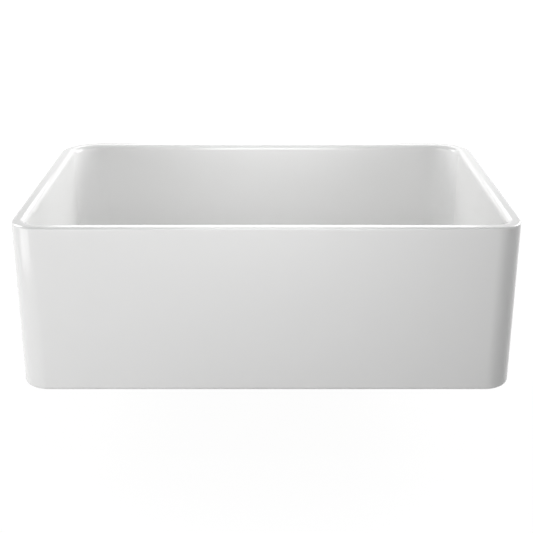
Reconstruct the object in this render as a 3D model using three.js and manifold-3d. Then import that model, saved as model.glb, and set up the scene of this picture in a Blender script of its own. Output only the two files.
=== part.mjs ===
// A farmhouse apron front sink: one glazed fireclay basin with its basket strainer drain.
// Units are millimetres. +X is to the right, +Y to the back, +Z up.
// The origin is the middle of the basin's base, on the plane that it bears on.

import * as THREE from "three";
import { mergeVertices } from "three/addons/utils/BufferGeometryUtils.js";
import Module from "manifold-3d";

// ---------------------------------------------------------------- driving dimensions

// Basin
const sinkWidth = 762;
const sinkDepth = 508;
const sinkHeight = 266.7;
const wallThickness = 22; // at the rim
const frontCornerRadius = 42; // upright outside corners beside the apron, in plan
const backCornerRadius = 67; // upright outside corners at the back, in plan
const bowlFootCornerRadius = 56; // upright bowl corners where the walls meet the floor
const rimOuterEdgeRadius = 4;
const rimInnerEdgeRadius = 10;
const baseEdgeRadius = 7; // foot of the outside walls
const bowlDraft = 1.2; // degrees that each bowl wall leans
const floorFilletRadius = 32; // bowl wall to bowl floor
const floorThickness = 21; // at the drain
const floorFall = 5; // drop of the floor from the walls to the drain
const baseReliefDepth = 6; // hollow inside the bearing band of the base
const bearingWidth = 45; // bearing band round the base
const reliefCornerRadius = 30;

// Drain opening in the basin
const drainSetback = 76; // behind the middle of the basin
const drainHoleDiameter = 90;
const flangeRecessDepth = 3.8;
const flangeRecessGap = 2.6; // round the strainer's flange
const recessEdgeRadius = 1.8;
const drainHoleEdge = 1.5; // softened edge at both ends of the hole

// Clearances
const seatGap = 0.3; // between pieces that press on each other
const slipGap = 0.4; // round what passes through a ring, a nut or a socket

// Strainer body
const flangeDiameter = 114.3;
const flangeThickness = 1.6;
const cupDiameter = 84; // outside, with the locknut's thread
const cupWall = 1.6;
const cupSideDepth = 33; // flange to the shoulder
const shoulderDrop = 9;
const stopperSeatDiameter = 60;
const stopperSeatDrop = 5;
const outletDiameter = 47.2; // outside, with the coupling nut's thread
const outletWall = 3.1;
const outletLength = 21;

// Rings that clamp the strainer body to the basin
const flangeGasketThickness = 1.5;
const flangeGasketWidth = 9;
const rubberGasketThickness = 4;
const frictionWasherThickness = 1;
const clampRingDiameter = 112; // rubber gasket and friction washer
const locknutHeight = 11;
const locknutDiameter = 108;
const locknutLugReach = 6;
const locknutLugWidth = 15;
const locknutLugCount = 8;

// Outlet cross
const crossHeight = 5;
const crossRimWidth = 1.7;
const crossArmWidth = 3;
const crossDepth = 6.5; // below the stopper seat's foot
const socketBore = 12.6;
const socketWall = 2;
const socketLength = 11;

// Tailpiece and its coupling
const tailpieceDiameter = 38.1;
const tailpieceWall = 1.25;
const tailpieceLength = 101.6;
const tailpieceFlangeWidth = 3.6;
const tailpieceFlangeThickness = 2;
const tailpieceWasherThickness = 2.5;
const couplingWall = 4.2;
const couplingGrip = 18; // length of outlet thread inside the nut
const couplingLipThickness = 3;
const couplingWingReach = 3;
const couplingWingWidth = 9;
const couplingWingCount = 6;

// Basket
const basketRimClearance = 0.9; // round the basket's rim
const basketRimDrop = 5; // below the top of the strainer body
const basketFootDiameter = 60;
const basketSheet = 1;
const basketLipWidth = 2.6;
const holeDiameter = 4.4;
const floorHoleRows = 2;
const floorHoleSpacing = 7.5; // between rows, and between holes of a row at the least
const innermostHoleRow = 12; // radius
const wallHoleCount = 16;
const wallHoleHeight = 14; // above the basket's floor

// Stopper
const stopperThickness = 4.6;
const retainerDiameter = 28;
const retainerThickness = 1.2;
const stopperNutFlats = 12;
const stopperNutHeight = 4.2;
const postDiameter = 8;
const postShoulderDiameter = 13;
const postShoulderHeight = 3;
const postTipDiameter = 7;
const postTipLength = 15; // below the stopper nut
const snapRingDiameter = 11.8;
const snapRingThickness = 2.4;
const snapRingHeight = 5; // above the end of the post
const knobDiameter = 24;
const knobHeight = 15;
const knobRise = 5; // above the bowl floor at the drain
const knobSocketDepth = 9; // blind hole for the top of the post
const knobWall = 2.6; // round that hole

// Smoothness
const cornerSteps = 8; // chords in a quarter turn of a basin corner
const edgeSteps = 4; // chords in a rounded edge
const filletSteps = 6; // chords in the bowl's floor fillet
const raySpacing = 7.5; // degrees between floor lines, seen from the drain
const turnSteps = 36; // chords in a large turned piece
const smallTurnSteps = 20; // chords in a small turned piece
const holeSteps = 6; // chords in a basket hole

// ---------------------------------------------------------------- materials

const finish = (color, roughness, metalness) =>
  new THREE.MeshStandardMaterial({ color, roughness, metalness });

const whiteGlaze = finish(0xf3f3f1, 0.12, 0);
const brushedSteel = finish(0xc4c6c8, 0.3, 1);
const polishedSteel = finish(0xd6d8da, 0.12, 1);
const castZinc = finish(0x9a9c9e, 0.5, 1);
const blackRubber = finish(0x1c1c1e, 0.85, 0);
const fibreBoard = finish(0x9c8a6b, 0.9, 0);
const whitePlastic = finish(0xe6e6e2, 0.45, 0);

// ---------------------------------------------------------------- geometry helpers

const wasm = await Module();
wasm.setup();

/** The closed surface of a geometry, as a solid that can be joined and cut. */
function solidOf(geometry) {
  const bare = geometry.index ? geometry.toNonIndexed() : geometry.clone();
  bare.deleteAttribute("normal");
  bare.deleteAttribute("uv");
  const merged = mergeVertices(bare, 1e-3);
  const mesh = new wasm.Mesh({
    numProp: 3,
    vertProperties: merged.attributes.position.array,
    triVerts: new Uint32Array(merged.index.array),
  });
  return new wasm.Manifold(mesh);
}

/** The geometry of a solid. */
function geometryOf(solid) {
  const { vertProperties, triVerts, numProp } = solid.getMesh();
  const places = [];
  for (const corner of triVerts) {
    const at = corner * numProp;
    places.push(vertProperties[at], vertProperties[at + 1], vertProperties[at + 2]);
  }
  const geometry = new THREE.BufferGeometry();
  geometry.setAttribute("position", new THREE.Float32BufferAttribute(places, 3));
  geometry.computeVertexNormals();
  return geometry;
}

/** A closed profile whose corners [radius, height, cut] are softened over the length of their cut. */
function softened(corners, steps = 2) {
  const profile = [];
  corners.forEach(([radius, height, cut = 0], i) => {
    const corner = new THREE.Vector2(radius, height);
    if (!cut) {
      profile.push(corner);
      return;
    }
    const towards = (j) => {
      const [r, z] = corners[(j + corners.length) % corners.length];
      return new THREE.Vector2(r - radius, z - height).setLength(cut).add(corner);
    };
    const bend = new THREE.QuadraticBezierCurve(towards(i - 1), corner, towards(i + 1));
    profile.push(...bend.getPoints(steps));
  });
  return profile;
}

/** A piece turned about Z from its profile of (radius, height) points. */
function turned(profile, steps = turnSteps) {
  const points = THREE.ShapeUtils.area(profile) < 0 ? [...profile].reverse() : [...profile];
  if (points.every((p) => p.x > 0)) points.push(points[0].clone());
  return new THREE.LatheGeometry(points, steps).rotateX(Math.PI / 2);
}

/** A flat ring between two radii and two heights, with its edges softened by cut. */
function ring(inner, outer, low, high, cut = 0, steps = turnSteps) {
  const corners = [
    [inner, low, cut],
    [outer, low, cut],
    [outer, high, cut],
    [inner, high, cut],
  ];
  return turned(softened(corners), steps);
}

/** Points round a circle, or an arc of it, in the XY plane. */
function arcPoints(radius, from, to, steps) {
  const points = [];
  for (let i = 0; i <= steps; i++) {
    const angle = from + ((to - from) * i) / steps;
    points.push(new THREE.Vector2(radius * Math.cos(angle), radius * Math.sin(angle)));
  }
  return points;
}

/** An upright prism of a shape, from a low to a high level. */
function prism(shape, low, high) {
  const geometry = new THREE.ExtrudeGeometry(shape, { depth: high - low, bevelEnabled: false });
  return geometry.translate(0, 0, low);
}

/** The outline of a round nut whose lugs stand out of it by reach. */
function luggedOutline(radius, reach, width, count) {
  const pitch = (2 * Math.PI) / count;
  const halfLug = Math.asin(width / 2 / (radius + reach));
  const halfRoot = Math.asin(Math.min(0.98, (width / 2 + reach / 2) / radius));
  const points = [];
  for (let lug = 0; lug < count; lug++) {
    const middle = lug * pitch;
    points.push(...arcPoints(radius + reach, middle - halfLug, middle + halfLug, 2));
    points.push(...arcPoints(radius, middle + halfRoot, middle + pitch - halfRoot, 2));
  }
  return new THREE.Shape(points);
}

/** A named mesh. */
function piece(name, geometry, material) {
  const mesh = new THREE.Mesh(geometry, material);
  mesh.name = name;
  return mesh;
}

// ---------------------------------------------------------------- basin

const drainCentre = new THREE.Vector2(0, drainSetback);
const draft = THREE.MathUtils.degToRad(bowlDraft);
const floorHeight = baseReliefDepth + floorThickness; // bowl floor at the drain
const flangeSeatHeight = floorHeight - flangeRecessDepth;
const recessRadius = flangeDiameter / 2 + flangeRecessGap;

/** A rounded rectangle set in from the basin's outside faces, with its front and back corner radii. */
function outline({ inset, front, back }) {
  return { halfX: sinkWidth / 2 - inset, halfY: sinkDepth / 2 - inset, front, back };
}

/** A level of the walls whose corners have the same centres as the outside corners. */
function concentricLevel(inset, height) {
  return { inset, height, front: frontCornerRadius - inset, back: backCornerRadius - inset };
}

const cornerSigns = [
  [1, 1],
  [-1, 1],
  [-1, -1],
  [1, -1],
];

/** The point of an outline at a station: turn goes round a corner, along goes to the next one. */
function outlinePoint({ halfX, halfY, front, back }, { corner, turn, along }) {
  const onCorner = (k, share) => {
    const [signX, signY] = cornerSigns[k % 4];
    const radius = signY > 0 ? back : front;
    const angle = ((k + share) * Math.PI) / 2;
    return new THREE.Vector2(
      signX * (halfX - radius) + radius * Math.cos(angle),
      signY * (halfY - radius) + radius * Math.sin(angle),
    );
  };
  return onCorner(corner, turn).lerp(onCorner(corner + 1, 0), along);
}

/** Stations round an outline: even steps in the corners, and even angles from a centre on the sides. */
function stationsRound(plan, centre) {
  const stations = [];
  for (let corner = 0; corner < 4; corner++) {
    for (let i = 0; i <= cornerSteps; i++) {
      stations.push({ corner, turn: i / cornerSteps, along: 0 });
    }
    const start = outlinePoint(plan, { corner, turn: 1, along: 0 }).sub(centre);
    const end = outlinePoint(plan, { corner, turn: 1, along: 1 }).sub(centre);
    const side = end.clone().sub(start);
    const sweep = (end.angle() - start.angle() + 2 * Math.PI) % (2 * Math.PI);
    const steps = Math.ceil(sweep / THREE.MathUtils.degToRad(raySpacing));
    for (let i = 1; i < steps; i++) {
      const angle = start.angle() + (sweep * i) / steps;
      const ray = new THREE.Vector2(Math.cos(angle), Math.sin(angle));
      stations.push({ corner, turn: 1, along: -start.cross(ray) / side.cross(ray) });
    }
  }
  return stations;
}

/** Joins rings of points, each to the next and the last to the first, into one closed surface. */
function loft(rings) {
  const count = rings[0].length;
  const places = rings.flat().flatMap((p) => [p.x, p.y, p.z]);
  const faces = [];
  rings.forEach((_, i) => {
    const next = (i + 1) % rings.length;
    for (let j = 0; j < count; j++) {
      const k = (j + 1) % count;
      const [a, b] = [i * count + j, i * count + k];
      const [c, d] = [next * count + k, next * count + j];
      faces.push(a, b, c, a, c, d);
    }
  });
  const geometry = new THREE.BufferGeometry();
  geometry.setAttribute("position", new THREE.Float32BufferAttribute(places, 3));
  geometry.setIndex(faces);
  geometry.computeVertexNormals();
  return geometry;
}

/** The bowl's section from the rim to the floor: rings of { inset, front, back, height }. */
function bowlSection() {
  const rimCentre = wallThickness - rimInnerEdgeRadius * Math.cos(draft);
  const wallTop = sinkHeight - rimInnerEdgeRadius * (1 - Math.sin(draft));
  const filletTop = floorHeight + floorFall + floorFilletRadius * (1 - Math.sin(draft));
  const wallFoot = wallThickness + Math.tan(draft) * (wallTop - filletTop);
  const filletCentre = wallFoot + floorFilletRadius * Math.cos(draft);
  const section = [];
  for (let i = 0; i <= edgeSteps; i++) {
    const angle = ((Math.PI / 2 - draft) * i) / edgeSteps;
    const inset = rimCentre + rimInnerEdgeRadius * Math.sin(angle);
    const drop = rimInnerEdgeRadius * (1 - Math.cos(angle));
    section.push(concentricLevel(inset, sinkHeight - drop));
  }
  for (let i = 0; i <= filletSteps; i++) {
    const angle = draft + ((Math.PI / 2 - draft) * i) / filletSteps;
    const inset = filletCentre - floorFilletRadius * Math.cos(angle);
    const corner = bowlFootCornerRadius - (inset - wallFoot);
    const height = floorHeight + floorFall + floorFilletRadius * (1 - Math.sin(angle));
    section.push({ inset, front: corner, back: corner, height });
  }
  return section;
}

/** The outside section from the bearing band to the rim: rings of { inset, front, back, height }. */
function outsideSection() {
  const section = [];
  for (let i = 0; i <= edgeSteps; i++) {
    const angle = (Math.PI / 2) * (i / edgeSteps);
    const inset = baseEdgeRadius * (1 - Math.sin(angle));
    section.push(concentricLevel(inset, baseEdgeRadius * (1 - Math.cos(angle))));
  }
  for (let i = 0; i <= edgeSteps; i++) {
    const angle = (Math.PI / 2) * (i / edgeSteps);
    const drop = rimOuterEdgeRadius * (1 - Math.sin(angle));
    section.push(concentricLevel(rimOuterEdgeRadius * (1 - Math.cos(angle)), sinkHeight - drop));
  }
  return section;
}

/** The base inside the bearing band: rings of { inset, front, back, height }. */
function reliefSection() {
  const level = (inset, corner, height) => ({ inset, front: corner, back: corner, height });
  return [
    level(bearingWidth + baseReliefDepth, reliefCornerRadius, baseReliefDepth),
    level(bearingWidth, reliefCornerRadius + baseReliefDepth, 0),
  ];
}

/** The drain's section from the floor down to the base: rings of { radius, height }. */
function drainSection() {
  const hole = drainHoleDiameter / 2;
  const section = [];
  for (let i = 0; i <= edgeSteps; i++) {
    const angle = (Math.PI / 2) * (i / edgeSteps);
    section.push({
      radius: recessRadius + recessEdgeRadius * (1 - Math.sin(angle)),
      height: floorHeight - recessEdgeRadius * (1 - Math.cos(angle)),
    });
  }
  section.push({ radius: recessRadius, height: flangeSeatHeight });
  section.push({ radius: hole + drainHoleEdge, height: flangeSeatHeight });
  section.push({ radius: hole, height: flangeSeatHeight - drainHoleEdge });
  section.push({ radius: hole, height: baseReliefDepth + drainHoleEdge });
  section.push({ radius: hole + drainHoleEdge, height: baseReliefDepth });
  return section;
}

/** The fireclay basin, lofted round its section from the base, over the rim and down to the drain. */
function basinGeometry() {
  const bowl = bowlSection();
  const foot = bowl.at(-1);
  const floorPlan = outline(foot);
  const stations = stationsRound(floorPlan, drainCentre);
  const rays = stations.map((s) => outlinePoint(floorPlan, s).sub(drainCentre).angle());

  const planRing = (level) => {
    const plan = outline(level);
    return stations.map((s) => {
      const p = outlinePoint(plan, s);
      return new THREE.Vector3(p.x, p.y, level.height);
    });
  };
  const drainRing = ({ radius, height }) =>
    rays.map((angle) => {
      const p = new THREE.Vector2(Math.cos(angle), Math.sin(angle));
      p.multiplyScalar(radius).add(drainCentre);
      return new THREE.Vector3(p.x, p.y, height);
    });

  const wallRings = [...reliefSection(), ...outsideSection(), ...bowl].map(planRing);
  const drainRings = drainSection().map(drainRing);
  return loft([...wallRings, ...drainRings]);
}

const basin = piece("basin", basinGeometry(), whiteGlaze);

// ---------------------------------------------------------------- strainer body and clamp rings

const cupRadius = cupDiameter / 2;
const cupBore = cupRadius - cupWall;
const flangeHeight = flangeSeatHeight + flangeGasketThickness + 2 * seatGap; // underside
const bodyTop = flangeHeight + flangeThickness;
const shoulderHeight = bodyTop - cupSideDepth;
const stopperSeatTop = shoulderHeight - shoulderDrop;
const stopperSeatFoot = stopperSeatTop - stopperSeatDrop;
const outletRadius = outletDiameter / 2;
const outletBore = outletRadius - outletWall;
const outletEnd = stopperSeatFoot - outletLength;

/** The strainer body: flange, cup, stopper seat and threaded outlet, in one section. */
function strainerBodyGeometry() {
  const seatRadius = stopperSeatDiameter / 2;
  const lip = 3;
  const corners = [
    [flangeDiameter / 2, flangeHeight],
    [flangeDiameter / 2, flangeHeight + flangeThickness / 3],
    [flangeDiameter / 2 - lip, bodyTop, 1],
    [cupBore, bodyTop, lip],
    [cupBore, shoulderHeight, lip],
    [seatRadius, stopperSeatTop],
    [outletBore, stopperSeatFoot, 1],
    [outletBore, outletEnd],
    [outletRadius, outletEnd],
    [outletRadius, stopperSeatFoot - cupWall, 1],
    [seatRadius + cupWall, stopperSeatTop - cupWall],
    [cupRadius, shoulderHeight - cupWall / 2, lip],
    [cupRadius, flangeHeight, 1],
  ];
  return turned(softened(corners));
}

/** The locknut, a round nut with lugs for a wrench. */
function locknutGeometry(top) {
  const shape = luggedOutline(locknutDiameter / 2, locknutLugReach, locknutLugWidth, locknutLugCount);
  shape.holes.push(
    new THREE.Path(arcPoints(cupRadius + slipGap, 0, 2 * Math.PI, turnSteps).slice(0, -1)),
  );
  return prism(shape, top - locknutHeight, top);
}

const ringBore = cupRadius + slipGap;
const flangeGasketTop = flangeSeatHeight + seatGap + flangeGasketThickness;
const rubberGasketTop = baseReliefDepth - seatGap;
const frictionWasherTop = rubberGasketTop - rubberGasketThickness - seatGap;
const locknutTop = frictionWasherTop - frictionWasherThickness - seatGap;

const strainerBody = piece("strainer_body", strainerBodyGeometry(), brushedSteel);
const flangeGasket = piece(
  "flange_gasket",
  ring(
    flangeDiameter / 2 - flangeGasketWidth,
    flangeDiameter / 2,
    flangeGasketTop - flangeGasketThickness,
    flangeGasketTop,
  ),
  whitePlastic,
);
const rubberGasket = piece(
  "rubber_gasket",
  ring(ringBore, clampRingDiameter / 2, rubberGasketTop - rubberGasketThickness, rubberGasketTop),
  blackRubber,
);
const frictionWasher = piece(
  "friction_washer",
  ring(
    ringBore,
    clampRingDiameter / 2,
    frictionWasherTop - frictionWasherThickness,
    frictionWasherTop,
  ),
  fibreBoard,
);
const locknut = piece("locknut", locknutGeometry(locknutTop), castZinc);

// ---------------------------------------------------------------- outlet cross

const crossTop = stopperSeatFoot - crossDepth;
const socketRadius = socketBore / 2;

/** The cross in the outlet, whose socket guides the stopper's post. */
function outletCrossGeometry() {
  const rim = outletBore - seatGap;
  const hub = socketRadius + socketWall;
  const shape = new THREE.Shape(arcPoints(rim, 0, 2 * Math.PI, turnSteps).slice(0, -1));
  const windowOuter = rim - crossRimWidth;
  const armAngle = (radius) => Math.asin(crossArmWidth / 2 / radius);
  for (let quarter = 0; quarter < 4; quarter++) {
    const [from, to] = [(quarter * Math.PI) / 2, ((quarter + 1) * Math.PI) / 2];
    const outer = arcPoints(windowOuter, from + armAngle(windowOuter), to - armAngle(windowOuter), 8);
    const inner = arcPoints(hub, to - armAngle(hub), from + armAngle(hub), 5);
    shape.holes.push(new THREE.Path([...outer, ...inner]));
  }
  const crown = solidOf(prism(shape, crossTop - crossHeight, crossTop));
  const hubSolid = solidOf(
    turned(
      softened([
        [0, crossTop - socketLength],
        [hub, crossTop - socketLength, 1],
        [hub, crossTop],
        [0, crossTop],
      ]),
      smallTurnSteps,
    ),
  );
  const bore = solidOf(
    new THREE.CylinderGeometry(socketRadius, socketRadius, 3 * socketLength, smallTurnSteps)
      .rotateX(Math.PI / 2)
      .translate(0, 0, crossTop),
  );
  return geometryOf(crown.add(hubSolid).subtract(bore));
}

const outletCross = piece("outlet_cross", outletCrossGeometry(), castZinc);

// ---------------------------------------------------------------- tailpiece and coupling nut

const tailpieceRadius = tailpieceDiameter / 2;
const tailpieceBore = tailpieceRadius - tailpieceWall;
const tailpieceFlangeRadius = tailpieceRadius + tailpieceFlangeWidth;
const washerTop = outletEnd - seatGap;
const tailpieceTop = washerTop - tailpieceWasherThickness - seatGap;
const tailpieceEnd = tailpieceTop - tailpieceLength;
const couplingTop = outletEnd + couplingGrip;
const couplingLipTop = tailpieceTop - tailpieceFlangeThickness - seatGap;
const couplingEnd = couplingLipTop - couplingLipThickness;

/** The tailpiece: a thin tube with a flange at its top. */
function tailpieceGeometry() {
  const corners = [
    [tailpieceBore, tailpieceTop, 0.8],
    [tailpieceBore, tailpieceEnd],
    [tailpieceRadius, tailpieceEnd],
    [tailpieceRadius, tailpieceTop - tailpieceFlangeThickness],
    [tailpieceFlangeRadius, tailpieceTop - tailpieceFlangeThickness],
    [tailpieceFlangeRadius, tailpieceTop],
  ];
  return turned(softened(corners));
}

/** The coupling nut: winged outside, stepped inside to hold the tailpiece's flange. */
function couplingNutGeometry() {
  const bore = outletRadius + slipGap;
  const outside = bore + couplingWall;
  const shape = luggedOutline(outside, couplingWingReach, couplingWingWidth, couplingWingCount);
  const blank = solidOf(prism(shape, couplingEnd, couplingTop));
  const over = 5; // the cutter's length past each end of the nut
  const cutter = turned(
    [
      [0, couplingEnd - over],
      [tailpieceRadius + slipGap, couplingEnd - over],
      [tailpieceRadius + slipGap, couplingLipTop],
      [bore, couplingLipTop],
      [bore, couplingTop + over],
      [0, couplingTop + over],
    ].map(([r, z]) => new THREE.Vector2(r, z)),
  );
  return geometryOf(blank.subtract(solidOf(cutter)));
}

const tailpieceWasher = piece(
  "tailpiece_washer",
  ring(tailpieceBore, tailpieceFlangeRadius, washerTop - tailpieceWasherThickness, washerTop),
  whitePlastic,
);
const tailpiece = piece("tailpiece", tailpieceGeometry(), polishedSteel);
const couplingNut = piece("coupling_nut", couplingNutGeometry(), castZinc);

// ---------------------------------------------------------------- basket and stopper

const basketRimRadius = cupBore - basketRimClearance;
const basketTop = bodyTop - basketRimDrop;
const stopperTop = stopperSeatTop - seatGap;
const basketFloor = stopperTop + seatGap; // underside
const basketFloorTop = basketFloor + basketSheet;
const retainerTop = stopperTop - stopperThickness - seatGap;
const stopperNutTop = retainerTop - retainerThickness - seatGap;
const stopperNutFoot = stopperNutTop - stopperNutHeight;
const postEnd = stopperNutFoot - postTipLength;
const knobTop = floorHeight + knobRise;
const knobFoot = knobTop - knobHeight;
const tipRadius = postTipDiameter / 2;
const tipBore = tipRadius + slipGap;

/** The perforated basket: a pressed cup with a turned-out lip and a hole for the post. */
function basketCupGeometry() {
  const foot = basketFootDiameter / 2;
  const wallTop = basketRimRadius - basketLipWidth;
  const corners = [
    [tipBore, basketFloor],
    [foot, basketFloor, 4],
    [wallTop, basketTop - basketSheet, 1],
    [basketRimRadius, basketTop - basketSheet],
    [basketRimRadius, basketTop],
    [wallTop - basketSheet, basketTop, 1],
    [foot - basketSheet, basketFloorTop, 4],
    [tipBore, basketFloorTop],
  ];
  const upright = () =>
    new THREE.CylinderGeometry(holeDiameter / 2, holeDiameter / 2, 6 * basketSheet, holeSteps)
      .rotateX(Math.PI / 2);
  const cutters = [];
  for (let row = 0; row < floorHoleRows; row++) {
    const radius = innermostHoleRow + row * floorHoleSpacing;
    const count = Math.floor((2 * Math.PI * radius) / floorHoleSpacing);
    for (let i = 0; i < count; i++) {
      const cutter = upright().translate(radius, 0, basketFloor);
      cutters.push(cutter.rotateZ((2 * Math.PI * i) / count));
    }
  }
  const lean = Math.atan2(wallTop - foot, basketTop - basketFloor);
  const wallRadius = foot + Math.tan(lean) * wallHoleHeight;
  for (let i = 0; i < wallHoleCount; i++) {
    const cutter = upright().rotateY(Math.PI / 2 + lean);
    cutter.translate(wallRadius, 0, basketFloor + wallHoleHeight);
    cutters.push(cutter.rotateZ((2 * Math.PI * i) / wallHoleCount));
  }
  const cup = solidOf(turned(softened(corners)));
  return geometryOf(cutters.reduce((left, cutter) => left.subtract(solidOf(cutter)), cup));
}

/** The rubber stopper, a disc whose edge lies parallel to its seat. */
function stopperSealGeometry() {
  const slope = (stopperSeatDiameter / 2 - outletBore) / stopperSeatDrop;
  const offset = seatGap * Math.hypot(1, slope);
  const edgeRadius = (height) =>
    stopperSeatDiameter / 2 - (stopperSeatTop - height) * slope - offset;
  const low = stopperTop - stopperThickness;
  const bead = 1; // upright edge above the sealing face
  const corners = [
    [tipBore, low],
    [edgeRadius(low), low],
    [edgeRadius(stopperTop - bead), stopperTop - bead],
    [edgeRadius(stopperTop - bead), stopperTop, 0.5],
    [tipBore, stopperTop],
  ];
  return turned(softened(corners));
}

/** The post, from inside the knob to its tip in the cross's socket. */
function postGeometry() {
  const radius = postDiameter / 2;
  const shoulder = postShoulderDiameter / 2;
  const shoulderFoot = basketFloorTop + seatGap;
  const groove = snapRingThickness / 2 + seatGap;
  const ringMiddle = postEnd + snapRingHeight;
  const corners = [
    [0, postEnd],
    [tipRadius - 1, postEnd],
    [tipRadius, postEnd + 1],
    [tipRadius, ringMiddle - groove],
    [tipRadius - 1, ringMiddle - groove],
    [tipRadius - 1, ringMiddle + groove],
    [tipRadius, ringMiddle + groove],
    [tipRadius, shoulderFoot],
    [shoulder, shoulderFoot],
    [shoulder, shoulderFoot + postShoulderHeight, 1],
    [radius, shoulderFoot + postShoulderHeight, 1],
    [radius, knobFoot + knobSocketDepth - seatGap],
    [0, knobFoot + knobSocketDepth - seatGap],
  ];
  return turned(softened(corners), smallTurnSteps);
}

/** The knob: a waisted grip that a finger and thumb lift. */
function knobGeometry() {
  const radius = knobDiameter / 2;
  const socket = postDiameter / 2 + seatGap;
  const waist = socket + knobWall;
  const corners = [
    [0, knobFoot + knobSocketDepth],
    [socket, knobFoot + knobSocketDepth],
    [socket, knobFoot],
    [waist, knobFoot, 0.8],
    [waist, knobFoot + 0.45 * knobHeight, 2],
    [radius, knobFoot + 0.6 * knobHeight, 1.2],
    [radius, knobTop - 0.15 * knobHeight, 1.5],
    [0.6 * radius, knobTop, 2],
    [0, knobTop],
  ];
  return turned(softened(corners), smallTurnSteps);
}

/** The hexagonal nut that holds the stopper on the post. */
function stopperNutGeometry() {
  const corner = stopperNutFlats / 2 / Math.cos(Math.PI / 6);
  const shape = new THREE.Shape(arcPoints(corner, 0, 2 * Math.PI, 6).slice(0, -1));
  shape.holes.push(
    new THREE.Path(arcPoints(tipBore, 0, 2 * Math.PI, smallTurnSteps).slice(0, -1)),
  );
  return prism(shape, stopperNutFoot, stopperNutTop);
}

/** The spring ring in the post's groove, which holds the post in its socket. */
function snapRingGeometry() {
  const middle = postEnd + snapRingHeight;
  const half = snapRingThickness / 2;
  const inner = tipRadius - 1 + seatGap;
  return ring(inner, snapRingDiameter / 2, middle - half, middle + half, 0.7, smallTurnSteps);
}

const basketCup = piece("basket_cup", basketCupGeometry(), polishedSteel);
const basketPost = piece("basket_post", postGeometry(), polishedSteel);
const basketKnob = piece("basket_knob", knobGeometry(), polishedSteel);
const stopperSeal = piece("stopper_seal", stopperSealGeometry(), blackRubber);
const sealRetainer = piece(
  "seal_retainer",
  ring(
    tipBore,
    retainerDiameter / 2,
    retainerTop - retainerThickness,
    retainerTop,
    0,
    smallTurnSteps,
  ),
  brushedSteel,
);
const stopperNut = piece("stopper_nut", stopperNutGeometry(), brushedSteel);
const snapRing = piece("snap_ring", snapRingGeometry(), brushedSteel);

// ---------------------------------------------------------------- assembly

const basket = new THREE.Group();
basket.add(basketCup, basketPost, basketKnob, stopperSeal, sealRetainer, stopperNut, snapRing);

const drain = new THREE.Group();
drain.add(strainerBody, flangeGasket, rubberGasket, frictionWasher, locknut, outletCross);
drain.add(tailpieceWasher, tailpiece, couplingNut, basket);
drain.position.set(drainCentre.x, drainCentre.y, 0);

const sink = new THREE.Group();
sink.add(basin, drain);

export default sink;
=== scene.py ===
"""An apron front sink of white fireclay with its basket strainer drain, in a plain studio.

Lengths are metres. +X is to the right, +Y to the back and +Z up; the apron faces -Y. Every piece is
modelled in place, round the same origin as the frame: the middle of the basin's base.
"""

import logging
import math
from collections.abc import Callable, Mapping, Sequence
from dataclasses import dataclass, field
from enum import Enum
from typing import Any

import bmesh
import bpy
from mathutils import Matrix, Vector


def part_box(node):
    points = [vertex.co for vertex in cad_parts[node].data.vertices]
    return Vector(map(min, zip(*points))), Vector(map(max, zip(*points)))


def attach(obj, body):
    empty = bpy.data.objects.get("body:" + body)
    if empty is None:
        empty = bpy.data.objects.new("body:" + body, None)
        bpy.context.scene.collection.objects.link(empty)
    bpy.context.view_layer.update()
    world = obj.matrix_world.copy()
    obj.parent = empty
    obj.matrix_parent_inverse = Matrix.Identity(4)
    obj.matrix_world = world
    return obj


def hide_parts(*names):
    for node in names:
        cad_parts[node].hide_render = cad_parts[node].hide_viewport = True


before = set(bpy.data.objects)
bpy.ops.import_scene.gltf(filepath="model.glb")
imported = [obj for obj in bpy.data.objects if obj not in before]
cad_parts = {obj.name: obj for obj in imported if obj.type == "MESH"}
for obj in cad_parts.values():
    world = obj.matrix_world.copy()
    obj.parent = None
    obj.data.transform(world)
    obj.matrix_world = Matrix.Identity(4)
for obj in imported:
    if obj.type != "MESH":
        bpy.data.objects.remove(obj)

log = logging.getLogger("sink")

MM = 0.001
TAU = math.tau
ROUND_STEPS = 96

Colour = tuple[float, float, float]
Place = tuple[float, float, float]
Span = tuple[float, float]
ByAngle = float | Callable[[float], float]


# ------------------------------------------------------------------ shader graphs


class Signal:
    """One output of a shader node. Arithmetic on it adds Math nodes to its graph."""

    def __init__(self, graph: "Graph", socket: bpy.types.NodeSocket) -> None:
        """Wraps a socket of a graph."""
        self.graph = graph
        self.socket = socket

    def output(self, name: str) -> "Signal":
        """Another output of the same node."""
        return Signal(self.graph, self.socket.node.outputs[name])

    def math(self, operation: str, *values: "Signal | float") -> "Signal":
        """A Math node on the given values."""
        return self.graph.node("ShaderNodeMath", {"operation": operation}, dict(enumerate(values)))

    def __add__(self, value: "Signal | float") -> "Signal":
        """The sum."""
        return self.math("ADD", self, value)

    def __radd__(self, value: float) -> "Signal":
        """The sum, with a number first."""
        return self.math("ADD", value, self)

    def __sub__(self, value: "Signal | float") -> "Signal":
        """The difference."""
        return self.math("SUBTRACT", self, value)

    def __rsub__(self, value: float) -> "Signal":
        """The difference from a number."""
        return self.math("SUBTRACT", value, self)

    def __mul__(self, value: "Signal | float") -> "Signal":
        """The product."""
        return self.math("MULTIPLY", self, value)

    def __rmul__(self, value: float) -> "Signal":
        """The product, with a number first."""
        return self.math("MULTIPLY", value, self)

    def __truediv__(self, value: "Signal | float") -> "Signal":
        """The quotient."""
        return self.math("DIVIDE", self, value)


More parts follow.
